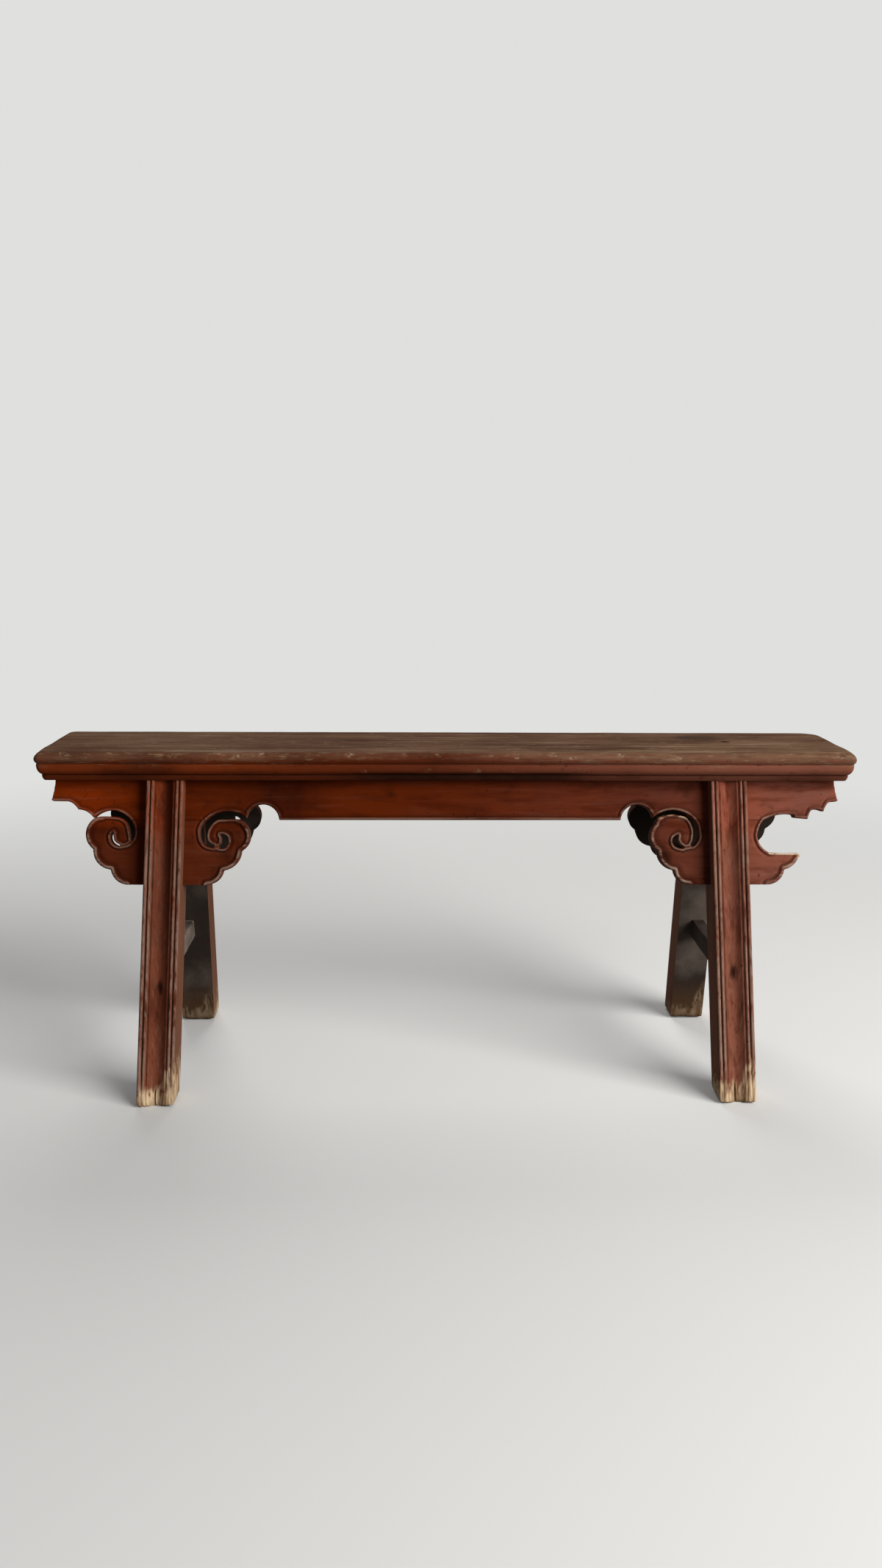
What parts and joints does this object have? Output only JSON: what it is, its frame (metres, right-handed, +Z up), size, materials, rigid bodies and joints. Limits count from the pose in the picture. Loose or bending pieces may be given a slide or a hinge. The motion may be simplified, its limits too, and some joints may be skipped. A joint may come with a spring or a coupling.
{
  "type": "long bench",
  "caption": "Narrow plank bench with a rolled seat edge, legs splayed in length and depth, leaning aprons and pierced cloud-scroll spandrels; a seat for people side by side.",
  "frame": {"origin": "on the floor under the middle of the seat", "axes": "+X along the seat to the right of someone facing the front, +Y from the front to the rear, +Z up"},
  "size_m": [1.1752, 0.358, 0.5],
  "materials": {
    "seat_wood": "worn, grey-brown bare top with red-brown lacquer left on the edge",
    "lacquered_wood": "old red-brown lacquer, worn to tan on the edges",
    "dark_wood": "unpolished, blackened with age",
    "bamboo": "bare"
  },
  "bodies": {
    "root": {"seat_top": "seat_wood", "leg_front_left": "lacquered_wood", "leg_front_right": "lacquered_wood", "leg_rear_left": "lacquered_wood", "leg_rear_right": "lacquered_wood", "apron_front": "lacquered_wood", "apron_rear": "lacquered_wood", "spandrel_front_left": "lacquered_wood", "spandrel_front_right": "lacquered_wood", "spandrel_rear_left": "lacquered_wood", "spandrel_rear_right": "lacquered_wood", "rung_left": "dark_wood", "rung_right": "dark_wood", "dowel_front_left_outer": "bamboo", "dowel_front_left_inner": "bamboo", "dowel_front_right_outer": "bamboo", "dowel_front_right_inner": "bamboo", "dowel_rear_left_outer": "bamboo", "dowel_rear_left_inner": "bamboo", "dowel_rear_right_outer": "bamboo", "dowel_rear_right_inner": "bamboo"}
  },
  "joints": []
}
